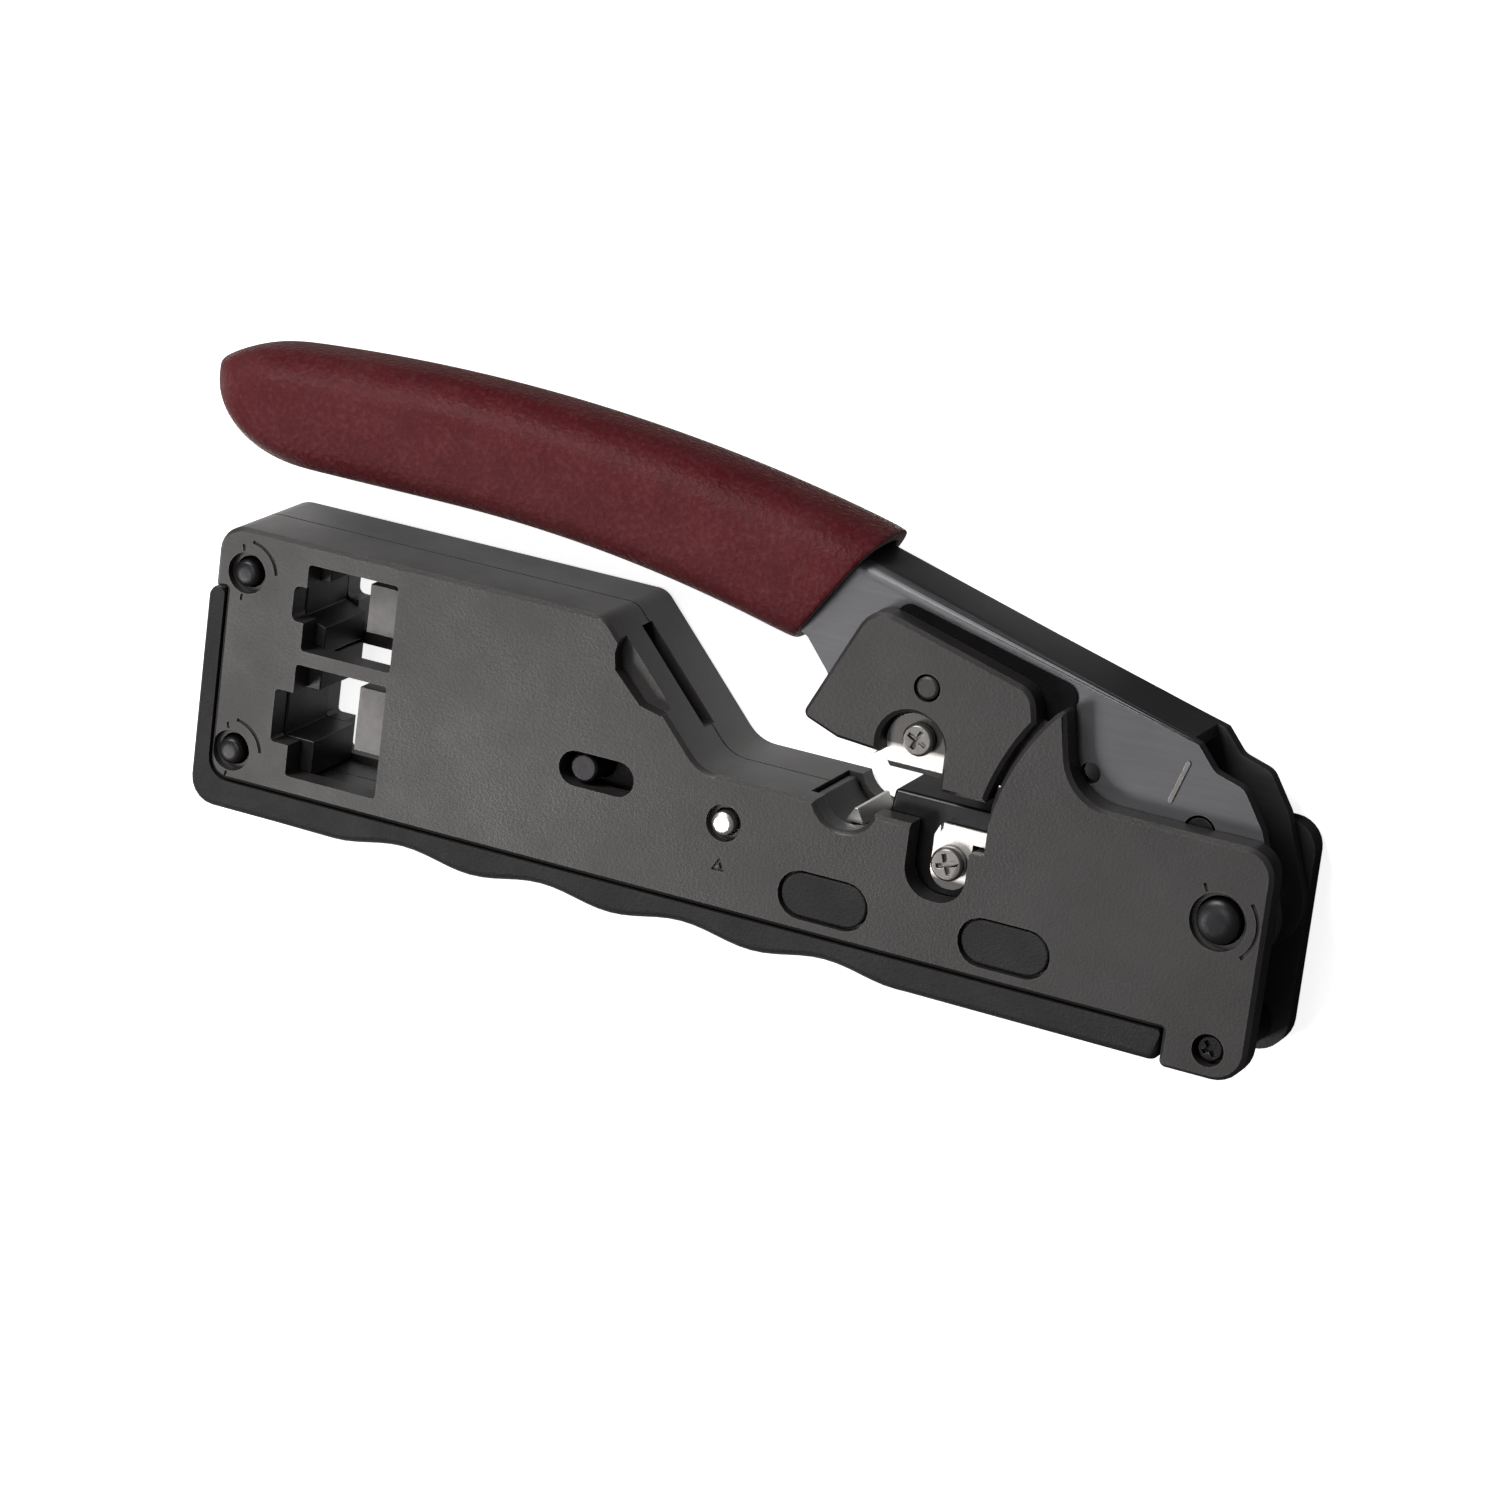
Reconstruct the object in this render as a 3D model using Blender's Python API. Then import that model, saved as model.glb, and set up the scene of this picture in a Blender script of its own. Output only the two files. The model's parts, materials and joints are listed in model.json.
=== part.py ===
"""Compact modular-plug crimping tool, lying on its rear shell, built as separate pieces.

Sizes are in millimetres in the tool's own plane: x runs from the left end of the body, y from the
line where the front shell meets the lower grip, and h up from the rear face. All geometry goes
through world(), which turns them into metres about the origin on the rear face.
"""
import math

import bmesh
import bpy
from mathutils import Vector

for old in list(bpy.data.objects):
    bpy.data.objects.remove(old, do_unlink=True)

# ---- driving dimensions, mm --------------------------------------------------------------------
BODY_LENGTH = 140.0        # left end of the shells to their right end
BODY_THICKNESS = 17.5      # rear face to front face
SHELL_WALL = 3.2
RIM = 2.2                  # side wall of the shells
PARTING = 0.3              # gap between the two shells
CLEAR = 0.3                # free gap between neighbouring pieces
LEVER_SHEET = 1.6
PIVOT = (134.0, 14.7)
PIVOT_PIN_R = 2.7
LEVER_EYE_R = 6.0
LINK_ON_LEVER = (129.0, 23.5)
LINK_ON_RAM = (110.0, 12.0)
LINK_PIN_R = 1.75
LINK_EYE_R = 3.6
LINK_PLAY = 0.45           # radial play of the link on the ram's pin, where the closed loop is left open
LOCK = (71.2, 11.2)
LOCK_PIN_R = 1.45
GUIDE = (51.8, 13.2)
GUIDE_PIN_R = 1.85
GUIDE_SLOT_W = 4.4
GUIDE_SLOT_X = (48.9, 59.0)
RIVETS = ((4.2, 27.0), (4.4, 4.2))
RIVET_R = 1.7
CORNER_SCREW = (135.1, -0.8)
STRIP = (86.2, 18.0, 4.0)  # centre and radius of the stripping notch
INLAYS = ((85.1, 4.9), (108.5, 4.9))
INLAY_LEN = 11.8
INLAY_WID = 6.1
JAW_ARC = 31.2             # radius about the pivot of the jaw covers' right edge
HORN_ARC = 30.3            # radius about the pivot of the shells' left edge beside the covers
CONTACT_PITCH = 1.02       # pitch of a modular plug's contacts
GRIP_HALF = 7.5            # half the width of the upper grip
GRIP_TIP = (-6.6, 50.1)        # foremost point of the handle's grip
GRIP_CREST = (27.0, 55.4)      # highest point of its back
GRIP_BACK_R = 250.0            # long arc of its back
GRIP_BELLY = (28.0, 39.9)      # where the arc of its underside begins
GRIP_BELLY_R = 185.0           # long arc of its underside
GRIP_MOUTH_X = 84.5            # where the back ends
GRIP_MOUTH_LEAN = 9.8          # how far the mouth's lower edge lies behind its upper one
GRIP_LEAN_X = 10.0             # where the sections begin to lean
GRIP_NOSE_BACK = 8.5           # length of the tip's rounding on the back
GRIP_NOSE_BELLY = 13.5         # on the underside
GRIP_NOSE_SIDE = 9.0           # and on the two sides
GRIP_NOSE_POWER = 1.75         # fullness of that rounding: 2 is an ellipse
GRIP_STEPS = 18                # sections from tip to mouth

# ---- levels derived from them ------------------------------------------------------------------
T = BODY_THICKNESS
MID = T / 2
LV0 = SHELL_WALL + CLEAR               # lever's outside, rear and front
LV1 = T - SHELL_WALL - CLEAR
LI0 = LV0 + LEVER_SHEET                # lever's inside
LI1 = LV1 - LEVER_SHEET
RAM0 = LI0 + 0.4
RAM1 = LI1 - 0.4
FORK = (RAM1 - RAM0) * 0.27            # half the width of the ram's fork
ORIGIN = (70.0, 5.0)
STRETCH = ((28.0, 47.0), (60.0, 68.5), (114.5, 127.0))   # zones that take up a change of length


def stretch(x):
    """Tool x after a change of BODY_LENGTH, which only the plain zones take up."""
    total = sum(b - a for a, b in STRETCH)
    rate = (BODY_LENGTH - 140.0) / total
    return x + rate * sum(min(max(x - a, 0.0), b - a) for a, b in STRETCH)


def world(x, y, h):
    return ((stretch(x) - ORIGIN[0]) * 0.001, (y - ORIGIN[1]) * 0.001, h * 0.001)


# ---- materials ---------------------------------------------------------------------------------
def material(name, colour, metallic, roughness):
    mat = bpy.data.materials.new(name)
    mat.use_nodes = True
    bsdf = mat.node_tree.nodes["Principled BSDF"]
    bsdf.inputs["Base Color"].default_value = (*colour, 1.0)
    bsdf.inputs["Metallic"].default_value = metallic
    bsdf.inputs["Roughness"].default_value = roughness
    return mat


SHELL = material("shell_dark_grey", (0.070, 0.066, 0.070), 0.6, 0.42)
RUBBER = material("grip_black", (0.022, 0.022, 0.023), 0.0, 0.7)
RED = material("grip_burgundy", (0.11, 0.013, 0.017), 0.0, 0.55)
GUNMETAL = material("lever_gunmetal", (0.12, 0.12, 0.135), 0.9, 0.35)
BRIGHT = material("bright_steel", (0.62, 0.61, 0.60), 1.0, 0.25)
DARK = material("dark_steel", (0.045, 0.044, 0.048), 0.8, 0.4)
DIE = material("die_steel", (0.17, 0.165, 0.165), 0.8, 0.4)


# ---- outlines ----------------------------------------------------------------------------------
def arc(cx, cy, r, a0, a1, n):
    """Points on an arc from a0 to a1 degrees, both ends included."""
    out = []
    for i in range(n + 1):
        a = math.radians(a0 + (a1 - a0) * i / n)
        out.append((cx + r * math.cos(a), cy + r * math.sin(a)))
    return out


def circle(cx, cy, r, n=32):
    return arc(cx, cy, r, 0, 360 - 360 / n, n - 1)


def stadium(cx, cy, length, width, n=10):
    r = width / 2
    e = length / 2 - r
    return arc(cx + e, cy, r, -90, 90, n) + arc(cx - e, cy, r, 90, 270, n)


def rounded(points, n=5):
    """Outline with each (x, y, r) corner filleted; a point given as (x, y) stays sharp."""
    out = []
    m = len(points)
    for i, p in enumerate(points):
        r = p[2] if len(p) > 2 else 0.0
        here = Vector(p[:2])
        if r <= 0.0:
            out.append(tuple(here))
            continue
        u = Vector(points[i - 1][:2]) - here
        v = Vector(points[(i + 1) % m][:2]) - here
        lu = u.length
        lv = v.length
        u.normalize()
        v.normalize()
        half = math.acos(max(-1.0, min(1.0, u.dot(v)))) / 2
        run = min(r / math.tan(half), 0.48 * lu, 0.48 * lv)
        r = run * math.tan(half)
        centre = here + (u + v).normalized() * (r / math.sin(half))
        s = here + u * run - centre
        e = here + v * run - centre
        a0 = math.atan2(s.y, s.x)
        turn = math.atan2(e.y, e.x) - a0
        while turn > math.pi:
            turn -= 2 * math.pi
        while turn < -math.pi:
            turn += 2 * math.pi
        for k in range(n + 1):
            a = a0 + turn * k / n
            out.append((centre.x + r * math.cos(a), centre.y + r * math.sin(a)))
    return out


def tidy(points):
    """Anticlockwise outline without doubled points."""
    out = []
    for p in points:
        if not out or math.dist(p, out[-1]) > 0.02:
            out.append((p[0], p[1]))
    if math.dist(out[0], out[-1]) <= 0.02:
        out.pop()
    area = sum(a[0] * b[1] - b[0] * a[1] for a, b in zip(out, out[1:] + out[:1]))
    return out if area > 0 else out[::-1]


def inset(points, d, mask=None):
    """Outline moved inward by d, or only where mask(x, y) is true."""
    out = []
    m = len(points)
    for i, p in enumerate(points):
        a = Vector(p) - Vector(points[i - 1])
        b = Vector(points[(i + 1) % m]) - Vector(p)
        na = Vector((-a.y, a.x)).normalized()
        nb = Vector((-b.y, b.x)).normalized()
        move = (na + nb) / max(0.4, 1.0 + na.dot(nb)) * d
        if mask is None or mask(p[0], p[1]):
            out.append((p[0] + move.x, p[1] + move.y))
        else:
            out.append(p)
    return out


# ---- solids ------------------------------------------------------------------------------------
def finish(bm, name, mat):
    bmesh.ops.recalc_face_normals(bm, faces=bm.faces[:])
    mesh = bpy.data.meshes.new(name)
    bm.to_mesh(mesh)
    bm.free()
    ob = bpy.data.objects.new(name, mesh)
    bpy.context.scene.collection.objects.link(ob)
    if mat is not None:
        mesh.materials.append(mat)
    return ob


def add_prism(bm, outline, h0, h1, holes=(), top=0.0, bottom=0.0, steps=1, mask=None):
    """A closed prism with holes through it and its outer edges eased by top and bottom."""
    outline = tidy(outline)
    levels = []
    for k in range(steps + 1 if bottom else 1):
        a = math.pi / 2 * (1 - k / steps) if bottom else 0.0
        levels.append((h0 + bottom * (1 - math.sin(a)), bottom * (1 - math.cos(a))))
    for k in range(steps + 1 if top else 1):
        a = math.pi / 2 * k / steps if top else 0.0
        levels.append((h1 - top * (1 - math.sin(a)), top * (1 - math.cos(a))))
    caps = ([], [])
    loops = [(outline, True)] + [(tidy(h), False) for h in holes]
    for points, outer in loops:
        rings = []
        for h, d in levels if outer else (levels[0], levels[-1]):
            ring = inset(points, d, mask) if outer and d > 0 else points
            rings.append([bm.verts.new(world(x, y, h)) for x, y in ring])
        n = len(points)
        for low, high in zip(rings, rings[1:]):
            for i in range(n):
                j = (i + 1) % n
                bm.faces.new((low[i], low[j], high[j], high[i]))
        for cap, ring in zip(caps, (rings[0], rings[-1])):
            for i in range(n):
                cap.append(bm.edges.get((ring[i], ring[(i + 1) % n])))
    for cap in caps:
        bmesh.ops.triangle_fill(bm, use_beauty=True, edges=cap)


def prism(name, mat, outline, h0, h1, **more):
    bm = bmesh.new()
    add_prism(bm, outline, h0, h1, **more)
    return finish(bm, name, mat)


def turned(name, mat, x, y, profile, n=32):
    """A pin turned about an axis along h: profile lists (radius, h) upward."""
    bm = bmesh.new()
    rings = []
    for r, h in profile:
        ring = [bm.verts.new(world(px, py, h)) for px, py in circle(x, y, r, n)]
        rings.append(ring)
    for low, high in zip(rings, rings[1:]):
        for i in range(n):
            j = (i + 1) % n
            bm.faces.new((low[i], low[j], high[j], high[i]))
    bm.faces.new(rings[0][::-1])
    bm.faces.new(rings[-1])
    return finish(bm, name, mat)


def cut(target, name, pieces):
    """Cut a set of prisms, which don't touch one another, out of the target."""
    bm = bmesh.new()
    for piece in pieces:
        outline, h0, h1 = piece[:3]
        add_prism(bm, outline, h0, h1, holes=piece[3] if len(piece) > 3 else ())
    tool = finish(bm, name, None)
    tool.hide_render = True
    tool.display_type = "WIRE"
    mod = target.modifiers.new(name, "BOOLEAN")
    mod.operation = "DIFFERENCE"
    mod.solver = "EXACT"
    mod.object = tool


def band(cx, cy, r, width, a0, a1, n=16):
    """A curved band, for a groove beside a pin."""
    return arc(cx, cy, r + width / 2, a0, a1, n) + arc(cx, cy, r - width / 2, a1, a0, n)


def spoke(cx, cy, r0, r1, width, angle):
    a = math.radians(angle)
    ux, uy = math.cos(a), math.sin(a)
    w = width / 2
    ends = ((r0, -w), (r1, -w), (r1, w), (r0, w))
    return [(cx + r * ux - s * uy, cy + r * uy + s * ux) for r, s in ends]


def cross(cx, cy, arm, width, turn=20.0):
    a = math.radians(turn)
    w = width / 2
    quarter = ((arm, -w), (arm, w), (w, w))
    out = []
    for k in range(4):
        b = a + k * math.pi / 2
        for x, y in quarter:
            out.append((cx + x * math.cos(b) - y * math.sin(b), cy + x * math.sin(b) + y * math.cos(b)))
    return out


# ---- shells ------------------------------------------------------------------------------------
def pivot_arc(r, y0, y1, n):
    """Points at radius r left of the pivot, from height y0 to y1."""
    out = []
    for i in range(n + 1):
        y = y0 + (y1 - y0) * i / n
        out.append((PIVOT[0] - math.sqrt(r * r - (y - PIVOT[1]) ** 2), y))
    return out


SHELL_TOP = 32.6
VALLEY = 16.8
NOSE = ((54.7, 30.5), (66.0, 18.3))
nose_slope = (NOSE[1][0] - NOSE[0][0]) / (NOSE[1][1] - NOSE[0][1])


def nose_x(y, back=0.0):
    """x of the slanted nose face at a height, set back along the face's normal."""
    return NOSE[0][0] + (y - NOSE[0][1]) * nose_slope - back * math.hypot(1.0, nose_slope)


def shell_outline():
    return rounded([
        (1.6, 0.3, 2.5), (129.3, 0.3, 0.25), (129.3, -4.3, 0.8), (139.8, -4.3, 4.0),
        (139.8, 24.3, 3.5), (113.9, 24.3, 7.0), (111.9, 35.0, 0.45),
        *pivot_arc(HORN_ARC, 34.3, 18.6, 10), (103.9, 16.9),
        *arc(STRIP[0], STRIP[1], STRIP[2], 344, 197.5, 16), (81.0, VALLEY),
        (nose_x(VALLEY), VALLEY, 5.0), (nose_x(SHELL_TOP), SHELL_TOP, 2.6), (0.0, SHELL_TOP, 3.5),
        (0.0, 24.5, 0.3), (1.6, 24.5, 0.2)], n=7)


PORT_8P = rounded([
    (12.2, 2.8, 0.4), (24.8, 2.8, 0.4), (24.8, 17.2, 0.4), (12.2, 17.2, 0.4), (12.2, 13.5),
    (9.7, 13.5, 0.5), (9.7, 6.7, 0.5), (12.2, 6.7)], n=3)
PORT_6P = rounded([
    (12.6, 19.0, 0.4), (25.0, 19.0, 0.4), (25.0, 30.0, 0.4), (12.6, 30.0, 0.4), (12.6, 27.0),
    (10.9, 27.0, 1.6), (10.9, 22.5, 1.6), (12.6, 22.5)], n=3)
PORT_8P_REAR = rounded([
    (12.2, 2.8, 0.4), (19.2, 2.8, 0.4), (19.2, 17.2, 0.4), (12.2, 17.2, 0.4), (12.2, 13.5),
    (9.7, 13.5, 0.5), (9.7, 6.7, 0.5), (12.2, 6.7)], n=3)
PORT_6P_REAR = rounded([
    (12.6, 19.0, 0.4), (19.2, 19.0, 0.4), (19.2, 30.0, 0.4), (12.6, 30.0, 0.4), (12.6, 27.0),
    (10.9, 27.0, 1.6), (10.9, 22.5, 1.6), (12.6, 22.5)], n=3)
CAVITY = [
    (8.0, 0.3 + 1.7), (8.0, SHELL_TOP - RIM), (nose_x(SHELL_TOP - RIM, RIM), SHELL_TOP - RIM),
    (nose_x(VALLEY - RIM, RIM), VALLEY - RIM), (80.5, VALLEY - RIM), (80.5, 45.0), (150.0, 45.0),
    (150.0, -10.0), (126.0, -10.0), (126.0, 2.0)]
NOSE_SLOT = [
    (nose_x(30.6, -1.0), 30.6), (nose_x(30.6, RIM + 0.3), 30.6), (nose_x(20.0, RIM + 0.3), 20.0),
    (nose_x(20.0, -1.0), 20.0)]
NOSE_SLOT_H = (MID - 0.7, MID + 2.1)


def shell_holes(*ports):
    holes = list(ports)
    holes += [circle(x, y, RIVET_R + CLEAR) for x, y in RIVETS]
    holes.append(circle(*PIVOT, PIVOT_PIN_R + CLEAR, 40))
    holes.append(circle(*CORNER_SCREW, 1.5, 24))
    return holes


front_holes = shell_holes(PORT_8P, PORT_6P) + [
    circle(*LOCK, LOCK_PIN_R + CLEAR),
    stadium(sum(GUIDE_SLOT_X) / 2, GUIDE[1], GUIDE_SLOT_X[1] - GUIDE_SLOT_X[0], GUIDE_SLOT_W)]
front = prism("front_shell", SHELL, shell_outline(), MID + PARTING / 2, T, holes=front_holes, top=0.5)
cut(front, "cut_front_cavity", [(CAVITY, MID - 1.0, T - SHELL_WALL)])
cut(front, "cut_front_relief", [([
    (54.9, 31.0), (54.5, 28.5), (54.8, 26.5), (58.5, 22.9), (61.4, 22.2), (62.6, 23.2), (66.0, 26.0),
    (58.0, 34.0)], T - 2.1, T + 1.0)])
cut(front, "cut_blade_pocket", [(rounded([
    (94.8, 8.3, 3.7), (102.6, 8.3, 3.7), (102.6, 15.3, 0.4), (104.5, 15.3, 0.4), (104.5, 22.0),
    (94.8, 22.0)], n=8), LV1 - 0.5, T + 1.0)])
face_cuts = [(stadium(x, y, INLAY_LEN, INLAY_WID), T - 1.2, T + 1.0) for x, y in INLAYS]
face_cuts += [(circle(x, y, 2.6), T - 1.1, T + 1.0) for x, y in RIVETS]
face_cuts.append((circle(*CORNER_SCREW, 2.0, 24), T - 2.4, T + 1.0))
face_cuts.append((circle(*LOCK, 2.3), T - 1.1, T + 1.0))
face_cuts.append((circle(*PIVOT, 3.55, 40), T - 0.9, T + 1.0))
for x, y in RIVETS:
    face_cuts.append((band(x, y, 4.1, 0.45, 8, 84), T - 0.35, T + 1.0))
    face_cuts += [(spoke(x, y, 2.75, 3.6, 0.35, a), T - 0.3, T + 1.0) for a in (103, 262)]
face_cuts.append((band(*PIVOT, 4.9, 0.5, -48, 40, 20), T - 0.35, T + 1.0))
face_cuts += [(spoke(*PIVOT, 3.75, 4.8, 0.4, 118), T - 0.35, T + 1.0)]
face_cuts.append(([(70.3, 5.2), (72.1, 5.2), (71.2, 6.9)], T - 0.3, T + 1.0,
                  ([(70.85, 5.52), (71.55, 5.52), (71.2, 6.18)],)))
cut(front, "cut_front_face", face_cuts)
cut(front, "cut_front_nose", [(NOSE_SLOT, *NOSE_SLOT_H)])

rear = prism("rear_shell", SHELL, shell_outline(), 0.0, MID - PARTING / 2,
              holes=shell_holes(PORT_8P_REAR, PORT_6P_REAR), bottom=0.5)
cut(rear, "cut_rear_cavity", [(CAVITY, SHELL_WALL, MID + 1.0)])
rear_cuts = [(stadium(x, y, INLAY_LEN, INLAY_WID), -1.0, 1.2) for x, y in INLAYS]
rear_cuts.append((circle(*CORNER_SCREW, 2.0, 24), -1.0, 1.6))
cut(rear, "cut_rear_face", rear_cuts)
cut(rear, "cut_rear_nose", [(NOSE_SLOT, *NOSE_SLOT_H)])

for side, h0, h1 in (("front", T - 0.9, T - 0.3), ("rear", 0.3, 0.9)):
    for k, (x, y) in enumerate(INLAYS):
        prism(f"inlay_{side}_{k + 1}", RUBBER,
              stadium(x, y, INLAY_LEN - 2 * CLEAR, INLAY_WID - 2 * CLEAR), h0, h1,
              top=0.2 if side == "front" else 0.0, bottom=0.2 if side == "rear" else 0.0)

# ---- lower grip: a strip under the shells that turns up round their left end --------------------
underside = [(19.5 + 76.0 * i / 48, -3.25 - 0.65 * math.cos(2 * math.pi * i / 12)) for i in range(49)]
grip_low = rounded([
    (1.3, 0.0, 2.8), (1.3, 24.2, 0.6), (-1.2, 24.2, 1.6), (-1.2, -3.75, 3.4), (12.0, -3.8),
    *underside, (97.0, -3.88), (129.0, -4.1, 1.2), (129.0, 0.0, 0.5)], n=5)
prism("lower_grip", RUBBER, grip_low, 0.2, T - 0.2, top=1.1, bottom=1.1, steps=3,
      mask=lambda x, y: y < -1.0 or (x < 0.2 and y < 24.0))

# ---- dies and the lower jaw --------------------------------------------------------------------
prism("die_block_8p", DIE, [
    (8.3, 2.3), (14.0, 2.3), (14.0, 6.8), (9.9, 6.8), (9.9, 13.4), (14.0, 13.4), (14.0, 17.7),
    (8.3, 17.7)], LV0, LV1)
prism("die_block_6p", DIE, [
    (8.3, 18.0), (14.0, 18.0), (14.0, 21.5), (11.0, 22.4), (11.0, 27.1), (14.0, 27.3), (14.0, 30.1),
    (8.3, 30.1)], LV0, LV1)
jaw = rounded([
    (80.9, 8.0, 0.6), (104.6, 8.0, 0.6), (104.6, 19.6, 0.5), (91.0, 19.6, 0.5),
    *arc(STRIP[0], STRIP[1], STRIP[2] + 0.6, 358, 200, 16), (80.9, 16.4)])
prism("lower_jaw_block", DIE, jaw, LV0, LV1, top=0.3, bottom=0.3)
prism("strip_blade_lower", BRIGHT, [(85.0, 14.0), (87.4, 14.0), (86.4, 15.8), (86.0, 15.8)], LV0 + 0.6, LV1 - 0.6)

LOW_SCREW = (99.8, 13.0)
blade_low = rounded([(97.3, 9.6, 2.4), (102.25, 9.6, 2.4), (102.25, 15.7, 0.1), (104.1, 15.7, 0.1),
                     (104.1, 17.2, 0.1), (97.9, 17.2, 0.1), (97.3, 15.9, 0.1)], n=8)
blade = prism("lower_blade", BRIGHT, blade_low, LV1 + CLEAR, LV1 + CLEAR + 1.3,
              holes=[circle(*LOW_SCREW, 1.35, 24)])


def cap_screw(name, x, y, low, seat, top, r_head, r_shank, turn):
    """A cross-recess screw: shank up to its seat, then a head with eased edges."""
    ob = turned(name, BRIGHT if r_head > 1.8 else DARK, x, y, [
        (r_shank, low), (r_shank, seat), (r_head, seat), (r_head, top - 0.35), (r_head - 0.3, top)])
    cut(ob, "cut_" + name, [(cross(x, y, r_head * 0.62, 0.55, turn), top - 0.6, top + 1.0)])


cap_screw("lower_blade_screw", *LOW_SCREW, LV1 + 0.35, LV1 + CLEAR + 1.6, LV1 + CLEAR + 2.8, 2.1, 1.05, 20)

# ---- pins of the body --------------------------------------------------------------------------
for name, (x, y) in zip(("rivet_top", "rivet_bottom"), RIVETS):
    turned(name, DARK, x, y, [(RIVET_R, 0.4), (RIVET_R, T - 0.1), (RIVET_R * 0.8, T + 0.25),
                              (RIVET_R * 0.4, T + 0.4)], 28)
turned("pivot_pin", DARK, *PIVOT, [
    (PIVOT_PIN_R - 0.3, 0.3), (PIVOT_PIN_R, 0.6), (PIVOT_PIN_R, T), (PIVOT_PIN_R * 0.8, T + 0.4),
    (PIVOT_PIN_R * 0.4, T + 0.6)], 36)
cap_screw("corner_screw", *CORNER_SCREW, 1.0, T - 2.1, T - 0.8, 1.7, 1.2, 35)
prism("corner_spacer", DARK, circle(*CORNER_SCREW, 2.7, 28), LV0, LV1, holes=[circle(*CORNER_SCREW, 1.5, 24)])
turned("lock_pin", BRIGHT, *LOCK, [
    (2.3, LV1 - 2.1), (2.5, LV1 - 1.9), (2.5, LV1 - 0.1), (LOCK_PIN_R, LV1 - 0.1),
    (LOCK_PIN_R, T + 0.2), (LOCK_PIN_R * 0.72, T + 0.5)], 32)

# ---- ram with its pressers ---------------------------------------------------------------------
bx, by = LINK_ON_RAM
ram_outline = rounded([
    (27.6, 2.6, 0.5), (107.5, 2.6, 2.5), (114.0, 8.5, 2.5), *arc(bx, by, 4.0, 0, 180, 16),
    (106.0, 7.3, 0.2), (65.0, 7.3, 1.5), (61.5, 10.5, 1.0), (56.0, 16.0, 1.0), (42.0, 29.2, 1.5),
    (27.6, 29.2, 0.5)])
ram = prism("ram", DIE, ram_outline, RAM0, RAM1,
            holes=[circle(bx, by, LINK_PIN_R + CLEAR, 28), circle(*GUIDE, GUIDE_PIN_R + CLEAR, 28)])
cut(ram, "cut_ram_fork", [([(104.8, 20.0), (104.8, 0.0), (120.0, 0.0), (120.0, 20.0)], MID - FORK, MID + FORK)])


def presser(name, y, count, x_front):
    """A block whose face is slotted into one tooth for each contact of the plug."""
    half = CONTACT_PITCH * count / 2
    block = prism(name, BRIGHT, [(x_front, y - half), (27.3, y - half), (27.3, y + half), (x_front, y + half)],
                  RAM0, RAM1)
    slots = []
    for k in range(1, count):
        c = y - half + CONTACT_PITCH * k
        slots.append(([(x_front - 1.0, c - 0.26), (x_front + 1.8, c - 0.26), (x_front + 1.8, c + 0.26),
                       (x_front - 1.0, c + 0.26)], MID - 1.8, MID + 1.8))
    cut(block, "cut_" + name, slots)


presser("presser_8p", 10.5, 8, 18.5)
presser("presser_6p", 24.7, 6, 18.5)
turned("guide_pin", DARK, *GUIDE, [
    (GUIDE_PIN_R, RAM0 + 0.5), (GUIDE_PIN_R, T - 1.2), (GUIDE_PIN_R - 0.3, T - 0.9)], 28)
turned("ram_link_pin", BRIGHT, bx, by, [(LINK_PIN_R, RAM0), (LINK_PIN_R, RAM1)], 28)

# ---- toggle link -------------------------------------------------------------------------------
ax, ay = LINK_ON_LEVER
run = math.degrees(math.atan2(by - ay, bx - ax))
link = arc(bx, by, LINK_EYE_R, run - 90, run + 90, 14) + arc(ax, ay, LINK_EYE_R, run + 90, run + 270, 14)
prism("toggle_link", DIE, link, MID - FORK + CLEAR, MID + FORK - CLEAR, holes=[
    circle(bx, by, LINK_PIN_R + LINK_PLAY, 28), circle(ax, ay, LINK_PIN_R + CLEAR, 28)])

# ---- lever: a folded channel with its grip, jaw covers and upper blade --------------------------
WEB = ((61.5, 50.3), (80.0, 46.95), (126.8, 33.94))


def web_y(x):
    for (x0, y0), (x1, y1) in zip(WEB, WEB[1:]):
        if x <= x1:
            return y0 + (y1 - y0) * (x - x0) / (x1 - x0)
    return WEB[-1][1]


lever_outline = rounded([
    (61.5, 40.2, 1.0), (74.0, 36.9, 1.0), (77.4, 35.2, 1.0), (80.6, 31.4, 3.0), (81.9, 27.6, 0.8),
    (84.8, 25.9, 1.0), (103.2, 23.4, 1.0), (109.5, 21.0, 3.0), (118.5, 12.6, 5.0),
    *arc(*PIVOT, LEVER_EYE_R, 225, 372, 20), (136.5, 25.5, 3.0), (133.6, 29.9, 2.0),
    (129.8, 31.0, 2.0), (127.4, 33.77, 0.6), WEB[1], WEB[0]])
lever = prism("lever_channel", GUNMETAL, lever_outline, LV0, LV1, top=2.0, bottom=2.0, steps=4,
              mask=lambda x, y: x < 127.5 and y > web_y(x) - 0.12,
              holes=[circle(*PIVOT, PIVOT_PIN_R + CLEAR, 40), circle(ax, ay, LINK_PIN_R + CLEAR, 28)])
cut(lever, "cut_lever_inside", [([
    (50.0, web_y(50.0) - 1.66), (50.0, -20.0), (160.0, -20.0), (160.0, 60.0), (126.3, 60.0),
    (126.3, web_y(126.3) - 1.66), (80.0, WEB[1][1] - 1.66)], LI0, LI1)])
JAW_RIVET = (94.6, 33.6)
JAW_RIVET_R = 1.4
cut(lever, "cut_lever_rivet", [(circle(*JAW_RIVET, JAW_RIVET_R + CLEAR, 24), LV0 - 1.0, LV1 + 1.0)])
SPRING_HOLE = (114.8, 27.3)
cut(lever, "cut_lever_spring_hole", [(circle(*SPRING_HOLE, 1.3, 24), LI1 - 0.5, LV1 + 1.0)])


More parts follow.
